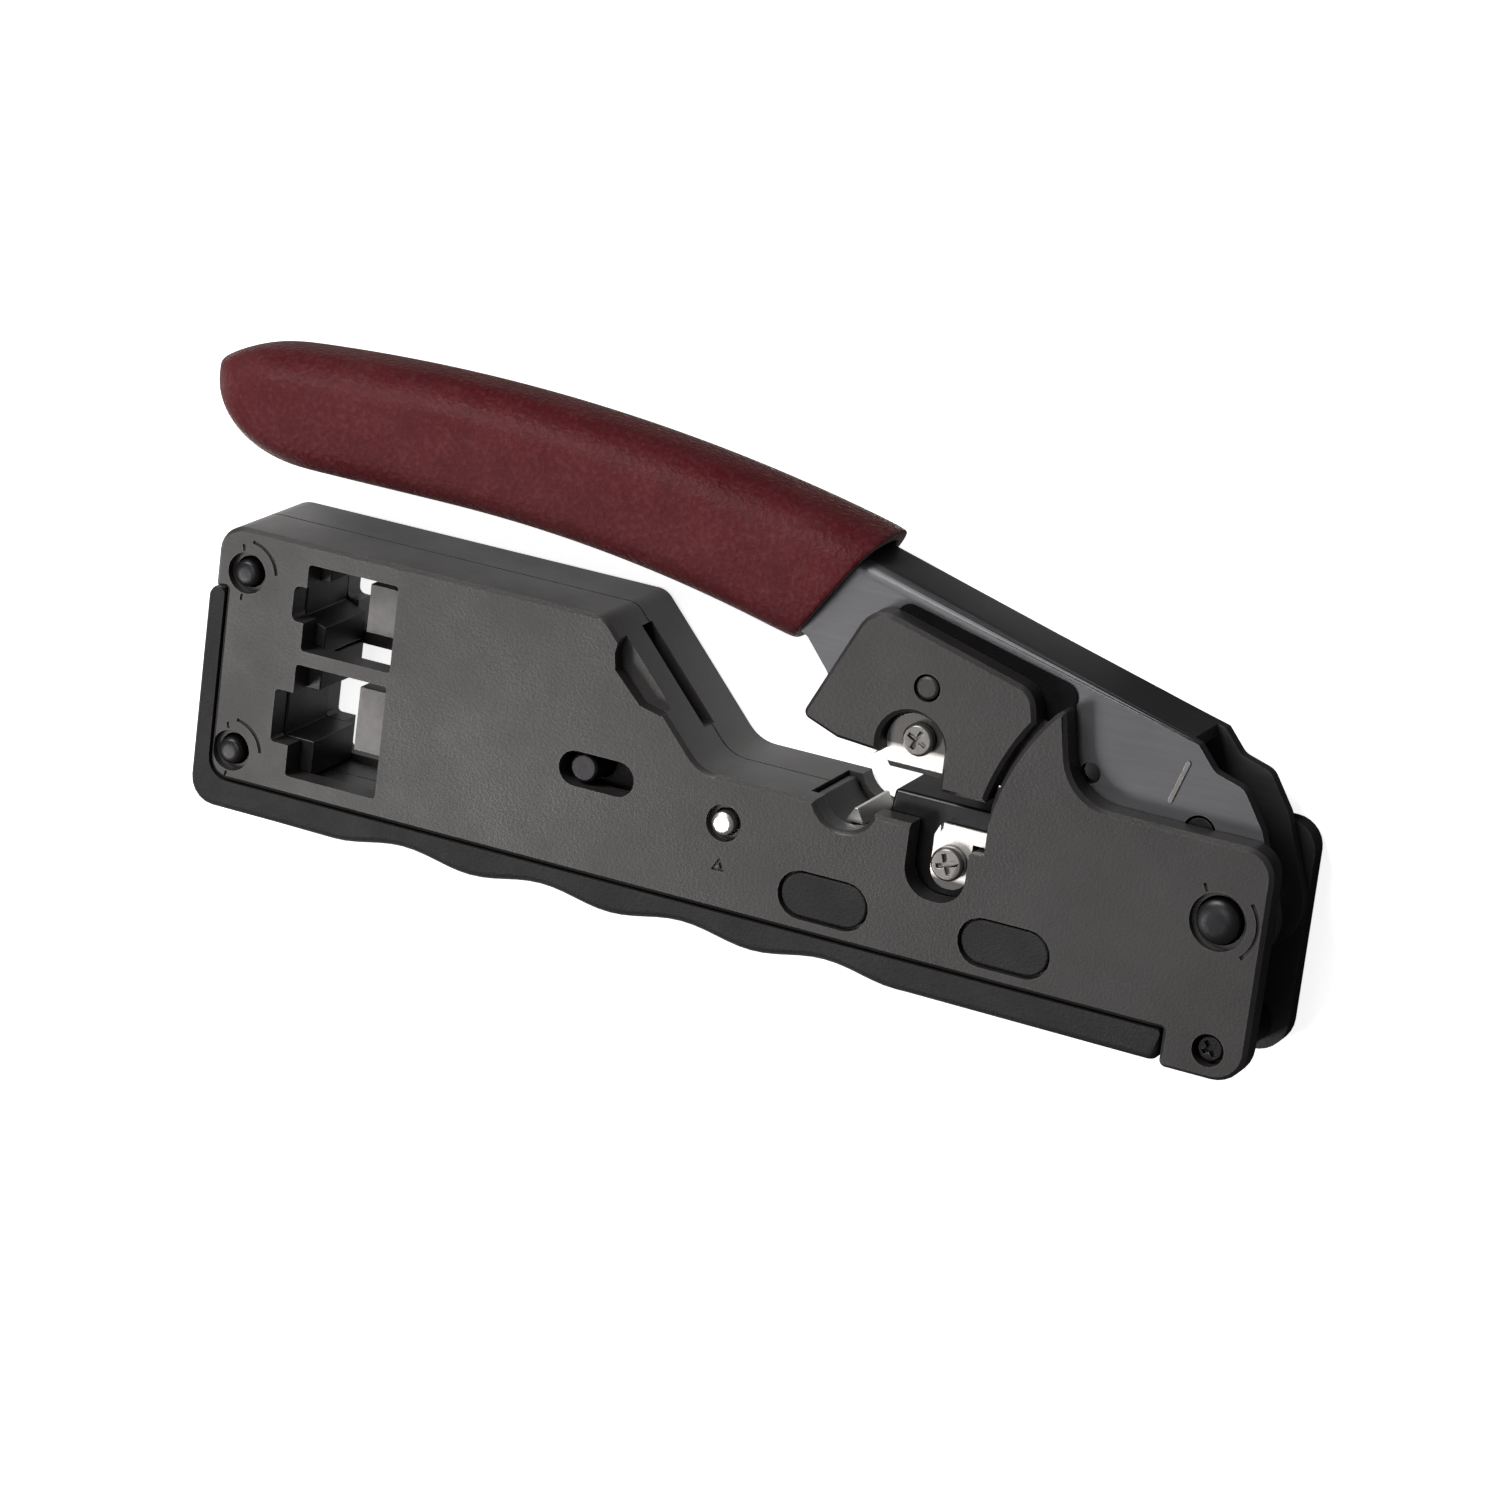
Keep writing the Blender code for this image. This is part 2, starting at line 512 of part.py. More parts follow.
def grip_nose(x, length):
    """Share of the full size that the grip has at x, with a nose of this length."""
    s = min(1.0, max(0.0, (x - GRIP_TIP[0]) / length))
    return (1 - (1 - s) ** GRIP_NOSE_POWER) ** (1 / GRIP_NOSE_POWER)


def grip_back(x):
    """Height of the grip's back: one long arc, rounded down to the tip."""
    arc_y = GRIP_CREST[1] - GRIP_BACK_R + math.sqrt(GRIP_BACK_R ** 2 - (x - GRIP_CREST[0]) ** 2)
    return GRIP_TIP[1] + (arc_y - GRIP_TIP[1]) * grip_nose(x, GRIP_NOSE_BACK)


def grip_belly(x):
    """Height of the grip's underside: level as far as its arc begins, rounded up to the tip."""
    run = max(0.0, x - GRIP_BELLY[0])
    arc_y = GRIP_BELLY[1] - GRIP_BELLY_R + math.sqrt(GRIP_BELLY_R ** 2 - run ** 2)
    return GRIP_TIP[1] + (arc_y - GRIP_TIP[1]) * grip_nose(x, GRIP_NOSE_BELLY)


def grip_sections():
    """Sections from tip to mouth: back point, belly point and share of the full width.
    They stand upright at the tip and lean more and more towards the mouth."""
    sections = []
    for k in range(GRIP_STEPS + 1):
        x = GRIP_TIP[0] + 0.12 + (GRIP_MOUTH_X - GRIP_TIP[0] - 0.12) * (k / GRIP_STEPS) ** 1.8
        lean = GRIP_MOUTH_LEAN * (max(0.0, x - GRIP_LEAN_X) / (GRIP_MOUTH_X - GRIP_LEAN_X)) ** 2
        wide = grip_nose(x, GRIP_NOSE_SIDE)
        sections.append((x, grip_back(x), x - lean, grip_belly(x - lean), wide))
    x, y, lower_x, lower_y, wide = sections[-1]
    sections.append((x + 0.8, y - 0.7, lower_x + 0.8, lower_y, wide * 0.94))
    return sections


def grip_solid(name, mat, n=36, power=2.9):
    """Lofts rounded sections, each between a point on the top line and one on the bottom line."""
    bm = bmesh.new()
    half = GRIP_HALF * BODY_THICKNESS / 17.5
    rings = []
    for tx, ty, lx, ly, wide in grip_sections():
        ring = []
        for k in range(n):
            a = 2 * math.pi * (k + 0.5) / n
            u = math.copysign(abs(math.sin(a)) ** (2 / power), math.sin(a)) * 0.5 + 0.5
            w = math.copysign(abs(math.cos(a)) ** (2 / power), math.cos(a))
            ring.append(bm.verts.new(world(lx + (tx - lx) * u, ly + (ty - ly) * u, MID + half * wide * w)))
        rings.append(ring)
    for low, high in zip(rings, rings[1:]):
        for i in range(n):
            j = (i + 1) % n
            bm.faces.new((low[i], low[j], high[j], high[i]))
    bm.faces.new(rings[0][::-1])
    bm.faces.new(rings[-1])
    bmesh.ops.triangulate(bm, faces=bm.faces[:])
    return finish(bm, name, mat)


grip = grip_solid("lever_grip", RED)
cut(grip, "cut_grip_socket", [([
    (60.5, 50.3 + 0.9), (60.5, 39.5), (73.9, 36.3), (78.0, 34.4), (90.0, 30.0), (90.0, web_y(90.0) + 0.35),
    (80.0, WEB[1][1] + 0.35)], LV0 - CLEAR, LV1 + CLEAR)])

cover = rounded([
    (84.0, 24.95, 1.0), (79.2, 26.7, 0.9), (86.4, 41.9, 3.6), (107.7, 36.2, 3.0),
    *pivot_arc(JAW_ARC, 32.6, 21.6, 8), (97.7, 21.6, 0.5), *arc(93.5, 26.0, 4.2, 0, 200, 16)], n=5)
for name, h0, h1, e0, e1 in (("front_jaw_cover", LV1 + CLEAR, T - 0.1, 0.0, 0.5),
                             ("rear_jaw_cover", 0.4, LV0 - CLEAR, 0.5, 0.0)):
    prism(name, SHELL, cover, h0, h1, top=e1, bottom=e0, holes=[circle(*JAW_RIVET, JAW_RIVET_R + CLEAR, 24)])
turned("jaw_rivet", DARK, *JAW_RIVET, [
    (JAW_RIVET_R, 0.5), (JAW_RIVET_R, T - 0.3), (JAW_RIVET_R - 0.3, T - 0.1)], 24)
prism("upper_jaw_block", DIE, rounded([
    (83.2, 27.9, 0.5), (85.6, 25.7, 0.5), (102.4, 23.9, 0.5), (103.6, 30.0, 1.0), (102.0, 36.5, 1.0),
    (86.5, 38.0, 1.0)]), LI0 + CLEAR, LI1 - CLEAR, holes=[circle(*JAW_RIVET, JAW_RIVET_R + CLEAR, 24)])
prism("strip_blade_upper", BRIGHT, [(84.6, 25.3), (86.5, 22.5), (87.0, 22.5), (88.9, 24.85)], LI0 + CLEAR,
      LI1 - CLEAR)

HIGH_SCREW = (94.0, 26.9)
blade_high = [(90.15, 22.4), (97.35, 22.4), (97.35, 26.0)] + arc(93.5, 26.0, 3.85, 0, 180, 14)[1:-1] + [
    (89.65, 26.0), (90.0, 24.6)]
prism("upper_blade", BRIGHT, blade_high, LV1 + CLEAR, LV1 + CLEAR + 1.3, holes=[circle(*HIGH_SCREW, 1.35, 24)])
cap_screw("upper_blade_screw", *HIGH_SCREW, LV1 + 0.35, LV1 + CLEAR + 1.6, LV1 + CLEAR + 2.6, 2.0, 1.05, 65)
turned("lever_link_pin", BRIGHT, ax, ay, [(LINK_PIN_R, LV0 + 0.1), (LINK_PIN_R, LV1 - 0.1)], 28)
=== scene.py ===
"""Looks of the compact crimping tool: eased pieces, a modelled handle grip, finishes and the stage."""
import json
import math

import bpy
from bpy.props import FloatProperty, FloatVectorProperty, IntProperty, PointerProperty
from bpy.types import Operator, Panel, PropertyGroup
from mathutils import Matrix, Vector


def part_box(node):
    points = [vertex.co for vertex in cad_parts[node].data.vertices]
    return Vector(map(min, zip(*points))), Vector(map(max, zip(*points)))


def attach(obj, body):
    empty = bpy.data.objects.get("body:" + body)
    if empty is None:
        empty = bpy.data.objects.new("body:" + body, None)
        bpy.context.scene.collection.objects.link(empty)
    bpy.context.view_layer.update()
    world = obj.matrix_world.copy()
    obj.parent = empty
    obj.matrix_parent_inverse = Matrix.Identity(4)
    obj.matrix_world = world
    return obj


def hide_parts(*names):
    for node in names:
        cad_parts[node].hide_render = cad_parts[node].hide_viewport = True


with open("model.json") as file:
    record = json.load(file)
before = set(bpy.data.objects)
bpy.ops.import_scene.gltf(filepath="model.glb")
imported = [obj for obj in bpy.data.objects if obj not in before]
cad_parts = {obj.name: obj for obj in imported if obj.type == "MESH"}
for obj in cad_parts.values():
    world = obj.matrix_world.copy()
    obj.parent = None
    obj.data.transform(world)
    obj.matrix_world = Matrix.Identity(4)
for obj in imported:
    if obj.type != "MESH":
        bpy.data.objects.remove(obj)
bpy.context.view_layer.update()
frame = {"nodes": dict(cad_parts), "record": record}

bl_info = {
    "name": "Crimping tool looks",
    "version": (1, 0, 0),
    "blender": (4, 5, 0),
    "location": "View3D > Sidebar > Crimping tool",
    "description": "Finishes the packed crimping tool and sets its stage",
    "category": "Object",
}

MM = 0.001
TOOL_ORIGIN = Vector((70.0, 5.0))      # the frame's origin in the tool's own plane, mm

# The body that each node rides on
BODY_OF = {node: body for body, nodes in frame["record"]["behaviour"]["bodies"].items() for node in nodes}

# The nodes of each finish, and how much their edges are eased, mm
SHELLS = {"front_shell": 0.16, "rear_shell": 0.16, "front_jaw_cover": 0.2, "rear_jaw_cover": 0.2,
          "jaw_rivet": 0.08}
MOULDINGS = {"lower_grip": 0.2, "inlay_front_1": 0.08, "inlay_front_2": 0.08, "inlay_rear_1": 0.08,
             "inlay_rear_2": 0.08}
LEVER = {"lever_channel": 0.18}
DIES = {"die_block_8p": 0.15, "die_block_6p": 0.15, "ram": 0.2, "toggle_link": 0.15}
BLACKENED = {"lower_jaw_block": 0.15, "upper_jaw_block": 0.2, "rivet_top": 0.1, "rivet_bottom": 0.1,
             "pivot_pin": 0.12, "corner_screw": 0.08, "corner_spacer": 0.12, "guide_pin": 0.1,
             "ram_link_pin": 0.1, "lever_link_pin": 0.1}
LOCK = {"lock_pin": 0.1}
SCREWS = {"lower_blade_screw": 0.08, "upper_blade_screw": 0.08}
BLADES = {"lower_blade": 0.06, "upper_blade": 0.06, "strip_blade_lower": 0.05, "strip_blade_upper": 0.05}
PRESSERS = {"presser_8p": 0.06, "presser_6p": 0.06}

# Height in the tool's plane of each blade's cutting edge, mm, which way the blade lies from it (up is 1),
# and how far its bright grinding reaches that way, mm; beyond it the blade is painted dark as painted shade
CUTTING_EDGE = {"lower_blade": (17.2, -1), "upper_blade": (22.4, 1)}
BRIGHT_REACH = {1: 2.7, -1: 6.0}

# The handle grip's outline in the tool's plane, mm
TIP = (-6.5, 50.1)
CREST = (27.0, 55.45)
BACK_RADIUS = 250.0
BELLY = (28.0, 39.8)
BELLY_RADIUS = 185.0
MOUTH_X = 85.0
MOUTH_LEAN = 9.9
LEAN_X = 10.0
NOSE_LENGTHS = {"back": 8.5, "belly": 13.5, "side": 9.0}
NOSE_POWER = 1.75
GRIP_CORNER = 5.6          # size of the section's rounded corners
GRIP_STEPS = 18
GRIP_CROWDING = 1.8        # how much closer the sections stand towards the tip
TIP_GAP = 0.15             # the last section's distance from the tip
LIP = 0.4                  # narrow faces that keep the mouth's edges crisp

# Flat bars on the lever: their ends in the tool's plane, width, lowest and highest level, corner, mm
# The jaw's bar is a near-black strip behind the jaw cover: a painted shadow of the cover on the lever's
# flange
JAW_SHADOW_STRIP = (((88.2, 39.9), (111.8, 34.3)), 5.4, (14.04, 14.24), 1.8)
LEVER_RIB = (((124.9, 26.2), (126.6, 31.6)), 0.62, (13.9, 14.2), 0.3)
BAR_EASE = 0.08

DUST = (0.2, 0.195, 0.19, 1.0)         # colour of the dust on the paint

# Making: merged and level distances, metres, and the angle under which faces are one face, degrees
MERGE_DISTANCE = 2e-6
SAME_LEVEL = 1e-5
FLAT_ANGLE = 0.4
EASE_STEPS = 2

# The stage: each softbox's place, aim, side and colour, and the camera's place and axes
SOFTBOXES = {
    "softbox_left": ((-0.50, -0.33, 0.66), (-0.02, 0.0, 0.0), 0.26, (1.0, 0.96, 0.94)),
    "softbox_back": ((-0.38, 0.62, 0.62), (-0.02, 0.0, 0.0), 0.4, (1.0, 0.985, 0.96)),
    "softbox_over": ((-0.1, 0.1, 1.1), (0.0, 0.0, 0.0), 0.3, (1.0, 1.0, 1.0)),
}
CAMERA_PLACE = (0.267499, 0.224896, 0.642531)
CAMERA_RIGHT = Vector((0.899469, 0.120060, -0.420168))
CAMERA_BACK = Vector((0.371951, 0.294334, 0.880352))
FLOOR_DROP = 0.0002        # the floor lies this far under the rear faces, metres


# ---- settings ----------------------------------------------------------------------------------
class CrimperShellSettings(PropertyGroup):
    """Satin painted shells and jaw covers."""

    paint: FloatVectorProperty(
        name="Paint", description="Colour of the satin paint on the shells and jaw covers", subtype="COLOR",
        size=3, min=0.0, max=1.0, default=(0.029, 0.0272, 0.0275))
    roughness: FloatProperty(
        name="Roughness", description="Roughness of the paint", min=0.0, max=1.0, default=0.40)
    ease_steps: IntProperty(
        name="Edge steps", description="Segments of each eased edge", min=1, max=4, default=2)


class CrimperGripSettings(PropertyGroup):
    """Burgundy grip on the lever and black moulding on the body."""

    vinyl: FloatVectorProperty(
        name="Vinyl", description="Colour of the grip on the handle", subtype="COLOR", size=3, min=0.0,
        max=1.0, default=(0.088, 0.0098, 0.0135))
    moulding: FloatVectorProperty(
        name="Moulding", description="Colour of the lower grip and the inlays", subtype="COLOR", size=3,
        min=0.0, max=1.0, default=(0.010, 0.010, 0.0105))
    # Near-black colour of the strip behind the jaw cover, a painted shadow of the cover
    painted_shadow: FloatVectorProperty(
        name="Painted shadow", description="Colour of the backing strip behind the jaw cover", subtype="COLOR", size=3,
        min=0.0, max=1.0, default=(0.004, 0.004, 0.0042))
    width: FloatProperty(
        name="Grip width", description="Full width of the grip on the handle", unit="LENGTH", min=0.011,
        max=0.02, default=0.015)
    wall: FloatProperty(
        name="Grip wall", description="Wall of the grip where the lever goes into it", unit="LENGTH",
        min=0.0005, max=0.003, default=0.0018)
    socket_depth: FloatProperty(
        name="Socket depth", description="How far the grip's hollow reaches over the lever", unit="LENGTH",
        min=0.001, max=0.02, default=0.009)


class CrimperSteelSettings(PropertyGroup):
    """Bare and blackened steel pieces."""

    gunmetal: FloatVectorProperty(
        name="Gunmetal", description="Colour of the folded lever", subtype="COLOR", size=3, min=0.0, max=1.0,
        default=(0.125, 0.126, 0.134))
    bright: FloatVectorProperty(
        name="Bright steel", description="Colour of the ground blades and the lock pin", subtype="COLOR",
        size=3, min=0.0, max=1.0, default=(0.86, 0.84, 0.81))
    black: FloatVectorProperty(
        name="Blackened steel", description="Colour of the rivets, pins and jaw blocks", subtype="COLOR",
        size=3, min=0.0, max=1.0, default=(0.028, 0.0275, 0.030))
    screw: FloatVectorProperty(
        name="Screws", description="Colour of the blade screws and the lever's rib", subtype="COLOR",
        size=3, min=0.0, max=1.0, default=(0.24, 0.235, 0.23))
    grind_width: FloatProperty(
        name="Grind width", description="Width of the ground bevel on each blade's edge", unit="LENGTH",
        min=0.0002, max=0.0012, default=0.0009)
    plate: FloatVectorProperty(
        name="Pressers", description="Colour of the pressers in the ports", subtype="COLOR", size=3, min=0.0,
        max=1.0, default=(0.17, 0.168, 0.168))
    die: FloatVectorProperty(
        name="Die steel", description="Colour of the dies, the ram and the toggle link", subtype="COLOR",
        size=3, min=0.0, max=1.0, default=(0.04, 0.039, 0.039))


class CrimperStageSettings(PropertyGroup):
    """Floor, lights and camera."""

    floor: FloatVectorProperty(
        name="Floor", description="Colour of the floor", subtype="COLOR", size=3, min=0.0, max=1.0,
        default=(0.9, 0.9, 0.9))
    floor_glow: FloatProperty(
        name="Floor glow", description="Light that the camera sees coming evenly from the floor", min=0.0,
        default=0.84)
    # Glow of the painted reflection: a patch of floor beside the dies that glows only for reflections and
    # bounce light
    painted_reflection_glow: FloatProperty(
        name="Painted reflection glow", description="Light that shiny pieces see coming from the floor beside the dies",
        min=0.0, default=0.38)
    floor_size: FloatProperty(
        name="Floor size", description="Side of the floor", unit="LENGTH", min=1.0, default=8.0)
    sky: FloatProperty(
        name="Sky strength", description="Strength of the even light all round", min=0.0, default=0.13)
    key_power: FloatProperty(
        name="Left softbox", description="Power of the softbox on the left, watts", min=0.0, default=2.6)
    back_power: FloatProperty(
        name="Back softbox", description="Power of the softbox behind the handle, watts", min=0.0,
        default=7.5)
    over_power: FloatProperty(
        name="Overhead softbox", description="Power of the softbox overhead, watts", min=0.0, default=1.5)
    lens: FloatProperty(
        name="Lens", description="Focal length of the camera, mm", min=10.0, default=144.0)


# ---- modelling helpers -------------------------------------------------------------------------
def deselect():
    """Leaves nothing selected and no piece open for editing."""
    if bpy.context.object and bpy.context.object.mode != "OBJECT":
        bpy.ops.object.mode_set(mode="OBJECT")
    bpy.ops.object.select_all(action="DESELECT")


def only(ob):
    """Makes ob the one selected piece."""
    deselect()
    ob.select_set(True)
    bpy.context.view_layer.objects.active = ob


def apply_modifiers(ob):
    only(ob)
    for mod in list(ob.modifiers):
        bpy.ops.object.modifier_apply(modifier=mod.name)


def ease_edges(ob, width, steps, angle=32.0):
    """Rounds the sharp edges of a piece."""
    mod = ob.modifiers.new("Eased edges", "BEVEL")
    mod.width = width
    mod.segments = steps
    mod.limit_method = "ANGLE"
    mod.angle_limit = math.radians(angle)
    mod.use_clamp_overlap = True
    apply_modifiers(ob)


def smooth(ob, angle=33.0):
    """Shades curves smooth and keeps broad flat faces flat up to their eased edges."""
    only(ob)
    bpy.ops.object.shade_smooth_by_angle(angle=math.radians(angle))
    mod = ob.modifiers.new("Flat faces stay flat", "WEIGHTED_NORMAL")
    mod.weight = 90
    mod.keep_sharp = True
    apply_modifiers(ob)


def set_material(ob, mat):
    ob.data.materials.clear()
    ob.data.materials.append(mat)


def settle(ob, body, mat):
    """Gives a finished piece its material and its body."""
    set_material(ob, mat)
    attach(ob, body)
    deselect()


def grind_edge(ob, height, width):
    """Chamfers the front edge that runs level at that height in the tool's plane."""
    level = (height - TOOL_ORIGIN.y) * MM
    top = max(v.co.z for v in ob.data.vertices)
    only(ob)
    bpy.ops.object.mode_set(mode="EDIT")
    bpy.ops.mesh.select_mode(type="EDGE")
    bpy.ops.mesh.select_all(action="DESELECT")
    bpy.ops.object.mode_set(mode="OBJECT")
    for edge in ob.data.edges:
        ends = [ob.data.vertices[i].co for i in edge.vertices]
        edge.select = all(abs(c.y - level) < SAME_LEVEL and top - c.z < SAME_LEVEL for c in ends)
    bpy.ops.object.mode_set(mode="EDIT")
    bpy.ops.mesh.bevel(offset=width * MM, offset_pct=0, affect="EDGES", segments=1)
    bpy.ops.object.mode_set(mode="OBJECT")


def eased_copy(node, ease, steps, mat, ground=0.0):
    """A merged copy of a CAD node with eased edges and smooth curves, shown in its place."""
    source = frame["nodes"][node]
    ob = bpy.data.objects.new(node + "_eased", source.data.copy())
    bpy.context.scene.collection.objects.link(ob)
    only(ob)
    bpy.ops.object.mode_set(mode="EDIT")
    bpy.ops.mesh.select_all(action="SELECT")
    bpy.ops.mesh.remove_doubles(threshold=MERGE_DISTANCE)
    bpy.ops.mesh.dissolve_limited(angle_limit=math.radians(FLAT_ANGLE))
    bpy.ops.object.mode_set(mode="OBJECT")
    if ground:
        grind_edge(ob, CUTTING_EDGE[node][0], ground)
    ease_edges(ob, ease * MM, steps)
    smooth(ob)
    settle(ob, BODY_OF[node], mat)
    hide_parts(node)
    return ob


# ---- material helpers --------------------------------------------------------------------------
def new_group(name, inputs, outputs):
    """An empty shader group with float, colour or vector sockets: (name, kind, default)."""
    group = bpy.data.node_groups.new(name, "ShaderNodeTree")
    kinds = {"float": "NodeSocketFloat", "colour": "NodeSocketColor", "vector": "NodeSocketVector"}
    for label, kind, default in inputs:
        socket = group.interface.new_socket(label, in_out="INPUT", socket_type=kinds[kind])
        socket.default_value = default
    for label, kind in outputs:
        group.interface.new_socket(label, in_out="OUTPUT", socket_type=kinds[kind])
    return group, group.nodes.new("NodeGroupInput"), group.nodes.new("NodeGroupOutput")


def noise(tree, vector, scale, detail=2.0, roughness=0.5):
    node = tree.nodes.new("ShaderNodeTexNoise")
    tree.links.new(vector, node.inputs["Vector"])
    node.inputs["Detail"].default_value = detail
    node.inputs["Roughness"].default_value = roughness
    if isinstance(scale, float):
        node.inputs["Scale"].default_value = scale
    else:
        tree.links.new(scale, node.inputs["Scale"])
    return node.outputs["Fac"]


def ranged(tree, value, low, high, to_low, to_high):
    """Maps a value between two ranges, held at their ends."""
    node = tree.nodes.new("ShaderNodeMapRange")
    tree.links.new(value, node.inputs["Value"])
    for label, limit in zip(("From Min", "From Max", "To Min", "To Max"), (low, high, to_low, to_high)):
        if isinstance(limit, (int, float)):
            node.inputs[label].default_value = limit
        else:
            tree.links.new(limit, node.inputs[label])
    return node.outputs["Result"]


def combine(tree, operation, a, b):
    node = tree.nodes.new("ShaderNodeMath")
    node.operation = operation
    for socket, value in zip(node.inputs, (a, b)):
        if isinstance(value, (int, float)):
            socket.default_value = value
        else:
            tree.links.new(value, socket)
    return node.outputs[0]


def mixed(tree, factor, a, b):
    """Colour a turned towards colour b by the factor."""
    node = tree.nodes.new("ShaderNodeMix")
    node.data_type = "RGBA"
    for socket, value in ((node.inputs[0], factor), (node.inputs[6], a), (node.inputs[7], b)):
        if isinstance(value, (int, float)):
            socket.default_value = value
        elif isinstance(value, (tuple, list)):
            socket.default_value = value
        else:
            tree.links.new(value, socket)
    return node.outputs[2]


def make_grain_group():
    """Fine grain of a cast, painted or moulded skin: a height, and a mask of its hollows."""
    group, inp, out = new_group(
        "Skin grain", (("Grain Scale", "float", 2600.0), ("Mottle Scale", "float", 120.0)),
        (("Height", "float"), ("Hollows", "float"), ("Mottle", "float")))
    where = group.nodes.new("ShaderNodeTexCoord").outputs["Object"]
    fine = noise(group, where, inp.outputs["Grain Scale"], 3.0, 0.6)
    broad = noise(group, where, inp.outputs["Mottle Scale"], 4.0, 0.65)
    height = combine(group, "ADD", combine(group, "MULTIPLY", broad, 0.25), fine)
    group.links.new(height, out.inputs["Height"])
    group.links.new(ranged(group, fine, 0.25, 0.5, 1.0, 0.0), out.inputs["Hollows"])
    group.links.new(ranged(group, broad, 0.32, 0.68, 0.0, 1.0), out.inputs["Mottle"])
    return group


def make_edge_group():
    """A mask of sharp edges broken up by noise: wear on a skin's edges, and on the paint partly a painted
    edge highlight.
    """
    group, inp, out = new_group(
        "Edge wear and highlight", (("Reach", "float", 0.0005), ("Breakup Scale", "float", 900.0)),
        (("Mask", "float"),))
    bevel = group.nodes.new("ShaderNodeBevel")
    bevel.samples = 4
    group.links.new(inp.outputs["Reach"], bevel.inputs["Radius"])
    geometry = group.nodes.new("ShaderNodeNewGeometry")
    dot = group.nodes.new("ShaderNodeVectorMath")
    dot.operation = "DOT_PRODUCT"
    group.links.new(bevel.outputs["Normal"], dot.inputs[0])
    group.links.new(geometry.outputs["Normal"], dot.inputs[1])
    edge = ranged(group, dot.outputs["Value"], 0.985, 0.80, 0.0, 1.0)
    where = group.nodes.new("ShaderNodeTexCoord").outputs["Object"]
    breakup = ranged(group, noise(group, where, inp.outputs["Breakup Scale"], 3.0, 0.6), 0.35, 0.6, 0.0, 1.0)
    group.links.new(combine(group, "MULTIPLY", edge, breakup), out.inputs["Mask"])
    return group


def make_lines_group():
    """Fine lines of ground or drawn steel, along X unless stretched another way."""
    group, inp, out = new_group(
        "Ground lines", (("Stretch", "vector", (60.0, 2600.0, 2600.0)),),
        (("Height", "float"), ("Streaks", "float")))
    where = group.nodes.new("ShaderNodeTexCoord").outputs["Object"]
    scaled = group.nodes.new("ShaderNodeVectorMath")
    scaled.operation = "MULTIPLY"
    group.links.new(where, scaled.inputs[0])
    group.links.new(inp.outputs["Stretch"], scaled.inputs[1])
    lines = noise(group, scaled.outputs[0], 1.0, 4.0, 0.7)
    group.links.new(lines, out.inputs["Height"])
    group.links.new(ranged(group, lines, 0.3, 0.7, 0.0, 1.0), out.inputs["Streaks"])
    return group


def make_handling_group():
    """Handling: soft greasy patches that change the gloss, and specks of dust."""
    group, inp, out = new_group(
        "Handling", (("Patch Scale", "float", 38.0), ("Speck Scale", "float", 1500.0)),
        (("Patches", "float"), ("Specks", "float")))
    where = group.nodes.new("ShaderNodeTexCoord").outputs["Object"]
    patches = noise(group, where, inp.outputs["Patch Scale"], 5.0, 0.6)
    group.links.new(ranged(group, patches, 0.38, 0.64, 0.0, 1.0), out.inputs["Patches"])
    specks = noise(group, where, inp.outputs["Speck Scale"], 1.0, 0.4)
    group.links.new(ranged(group, specks, 0.70, 0.80, 0.0, 1.0), out.inputs["Specks"])
    return group


def place_group(tree, group, **values):
    node = tree.nodes.new("ShaderNodeGroup")
    node.node_tree = group
    for key, value in values.items():
        node.inputs[key.replace("_", " ")].default_value = value
    return node


def group_named(name):
    makers = {"Skin grain": make_grain_group, "Edge wear and highlight": make_edge_group,
              "Ground lines": make_lines_group, "Handling": make_handling_group}
    return bpy.data.node_groups.get(name) or makers[name]()


def new_material(name, metallic=0.0, roughness=0.5, **constants):
    """A material with its Principled shader; constants are set on the shader's own sockets."""
    mat = bpy.data.materials.new(name)
    mat.use_nodes = True
    shader = mat.node_tree.nodes["Principled BSDF"]
    shader.inputs["Metallic"].default_value = metallic
    shader.inputs["Roughness"].default_value = roughness
    for key, value in constants.items():
        shader.inputs[key.replace("_", " ")].default_value = value
    return mat, mat.node_tree, shader


def bump(tree, shader, height, strength, distance):
    node = tree.nodes.new("ShaderNodeBump")
    node.inputs["Strength"].default_value = strength
    node.inputs["Distance"].default_value = distance
    tree.links.new(height, node.inputs["Height"])
    tree.links.new(node.outputs["Normal"], shader.inputs["Normal"])


def scaled_colour(colour, factor):
    return tuple(c * factor for c in colour) + (1.0,)


def paint_material(settings):
    """Satin grey paint over cast metal, lighter on its edges: partly worn paint, partly a painted edge
    highlight.
    """
    mat, tree, shader = new_material("satin_paint", 0.0, settings.roughness, Specular_IOR_Level=0.5)
    grain = place_group(tree, group_named("Skin grain"), Grain_Scale=2400.0, Mottle_Scale=85.0)
    edges = place_group(tree, group_named("Edge wear and highlight"), Reach=0.00035)
    hands = place_group(tree, group_named("Handling"))
    base = mixed(tree, grain.outputs["Mottle"], scaled_colour(settings.paint, 0.80),
                 scaled_colour(settings.paint, 1.22))
    # Lighter sharp edges: partly wear, partly a painted highlight where the edges catch light
    edge_wear_and_highlight = mixed(tree, combine(tree, "MULTIPLY", edges.outputs["Mask"], 0.7), base,
                   scaled_colour(settings.paint, 3.2))
    dusty = mixed(tree, combine(tree, "MULTIPLY", hands.outputs["Specks"], 0.05), edge_wear_and_highlight, DUST)
    tree.links.new(dusty, shader.inputs["Base Color"])
    tree.links.new(ranged(tree, hands.outputs["Patches"], 0.0, 1.0, settings.roughness - 0.05,
                          settings.roughness + 0.07), shader.inputs["Roughness"])
    bump(tree, shader, grain.outputs["Height"], 0.22, 0.00012)
    return mat


